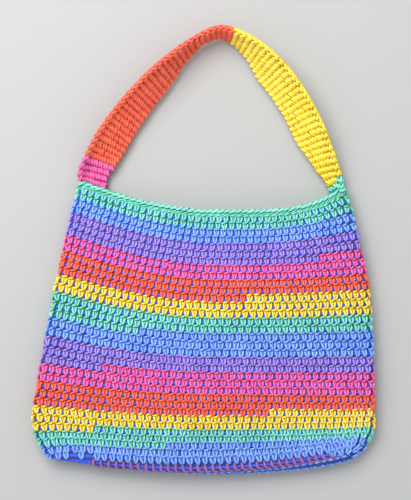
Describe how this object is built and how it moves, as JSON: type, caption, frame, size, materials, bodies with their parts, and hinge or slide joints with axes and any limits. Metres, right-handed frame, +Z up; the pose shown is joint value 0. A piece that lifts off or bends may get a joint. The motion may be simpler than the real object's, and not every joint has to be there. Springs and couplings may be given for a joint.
{
  "type": "crochet shoulder bag",
  "caption": "Small soft crochet bag worked in coloured rounds over a carried cord, lying flat on its back, open at the mouth, with a short ribbed shoulder strap laid out in an arch.",
  "frame": {"origin": "middle of the whole bag's box in plan, on the surface it lies on", "axes": "+Y from the base towards the strap, +X to the right as seen from above, +Z up, out of the front"},
  "size_m": [0.272, 0.354, 0.0291],
  "materials": {
    "body_yarn": "smooth plied cotton yarn crocheted in striped rounds over a royal blue cord",
    "strap_yarn": "smooth plied cotton yarn crocheted in short ribbed rows"
  },
  "bodies": {
    "root": {"bag_body": "body_yarn", "strap": "strap_yarn"}
  },
  "joints": []
}
